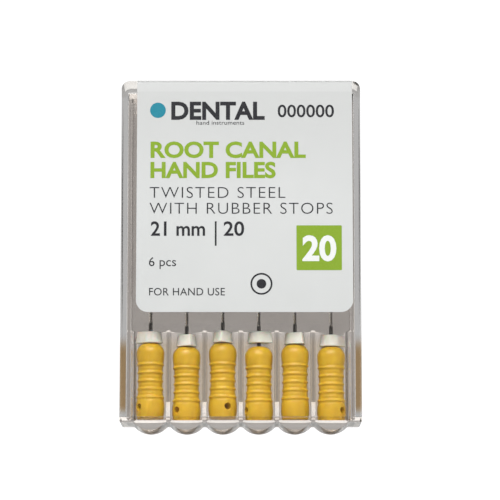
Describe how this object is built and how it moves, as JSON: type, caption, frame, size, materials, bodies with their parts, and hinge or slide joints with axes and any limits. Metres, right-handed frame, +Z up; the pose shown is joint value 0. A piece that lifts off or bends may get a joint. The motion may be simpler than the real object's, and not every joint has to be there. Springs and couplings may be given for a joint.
{
  "type": "endodontic file pack",
  "caption": "Hand root-canal files with waisted ribbed handles, twisted steel blades and silicone stops, in a clear sliding tray-and-sleeve case with a wrap-round label.",
  "frame": {"origin": "centre of the case's footprint on the surface it stands on, under its lower end", "axes": "+Z up along the files, tips up; the labelled front faces -Y; +X to the right seen from the front"},
  "size_m": [0.035, 0.0082, 0.0514],
  "materials": {
    "clear_tray": "clear moulded plastic, slightly hazy",
    "clear_sleeve": "clear moulded plastic, polished",
    "label_paper": "satin white printed paper",
    "handle_yellow": "satin moulded plastic",
    "file_steel": "bright ground stainless steel",
    "stop_silicone": "matt off-white silicone"
  },
  "bodies": {
    "tray": {"tray": "clear_tray"},
    "sleeve": {"sleeve": "clear_sleeve", "label": "label_paper"},
    "file_1": {"handle_1": "handle_yellow", "shaft_1": "file_steel"},
    "stop_1": {"stop_1": "stop_silicone"},
    "file_2": {"handle_2": "handle_yellow", "shaft_2": "file_steel"},
    "stop_2": {"stop_2": "stop_silicone"},
    "file_3": {"handle_3": "handle_yellow", "shaft_3": "file_steel"},
    "stop_3": {"stop_3": "stop_silicone"},
    "file_4": {"handle_4": "handle_yellow", "shaft_4": "file_steel"},
    "stop_4": {"stop_4": "stop_silicone"},
    "file_5": {"handle_5": "handle_yellow", "shaft_5": "file_steel"},
    "stop_5": {"stop_5": "stop_silicone"},
    "file_6": {"handle_6": "handle_yellow", "shaft_6": "file_steel"},
    "stop_6": {"stop_6": "stop_silicone"}
  },
  "joints": [
    {"name": "sleeve_lift", "type": "slide", "parent": "tray", "child": "sleeve", "axis": [0, 0, 1], "range_m": [0, 0.05]},
    {"name": "file_1_slide", "type": "slide", "parent": "tray", "child": "file_1", "axis": [0, 0, 1], "range_m": [-0.0005, 0.0135]},
    {"name": "stop_1_slide", "type": "slide", "parent": "file_1", "child": "stop_1", "axis": [0, 0, 1], "range_m": [0, 0.019]},
    {"name": "file_2_slide", "type": "slide", "parent": "tray", "child": "file_2", "axis": [0, 0, 1], "range_m": [0, 0.014]},
    {"name": "stop_2_slide", "type": "slide", "parent": "file_2", "child": "stop_2", "axis": [0, 0, 1], "range_m": [0, 0.019]},
    {"name": "file_3_slide", "type": "slide", "parent": "tray", "child": "file_3", "axis": [0, 0, 1], "range_m": [-0.00055, 0.01345]},
    {"name": "stop_3_slide", "type": "slide", "parent": "file_3", "child": "stop_3", "axis": [0, 0, 1], "range_m": [0, 0.019]},
    {"name": "file_4_slide", "type": "slide", "parent": "tray", "child": "file_4", "axis": [0, 0, 1], "range_m": [0, 0.014]},
    {"name": "stop_4_slide", "type": "slide", "parent": "file_4", "child": "stop_4", "axis": [0, 0, 1], "range_m": [-0.0005, 0.0185]},
    {"name": "file_5_slide", "type": "slide", "parent": "tray", "child": "file_5", "axis": [0, 0, 1], "range_m": [-0.00033, 0.01367]},
    {"name": "stop_5_slide", "type": "slide", "parent": "file_5", "child": "stop_5", "axis": [0, 0, 1], "range_m": [0, 0.019]},
    {"name": "file_6_slide", "type": "slide", "parent": "tray", "child": "file_6", "axis": [0, 0, 1], "range_m": [0, 0.014]},
    {"name": "stop_6_slide", "type": "slide", "parent": "file_6", "child": "stop_6", "axis": [0, 0, 1], "range_m": [0, 0.019]}
  ]
}
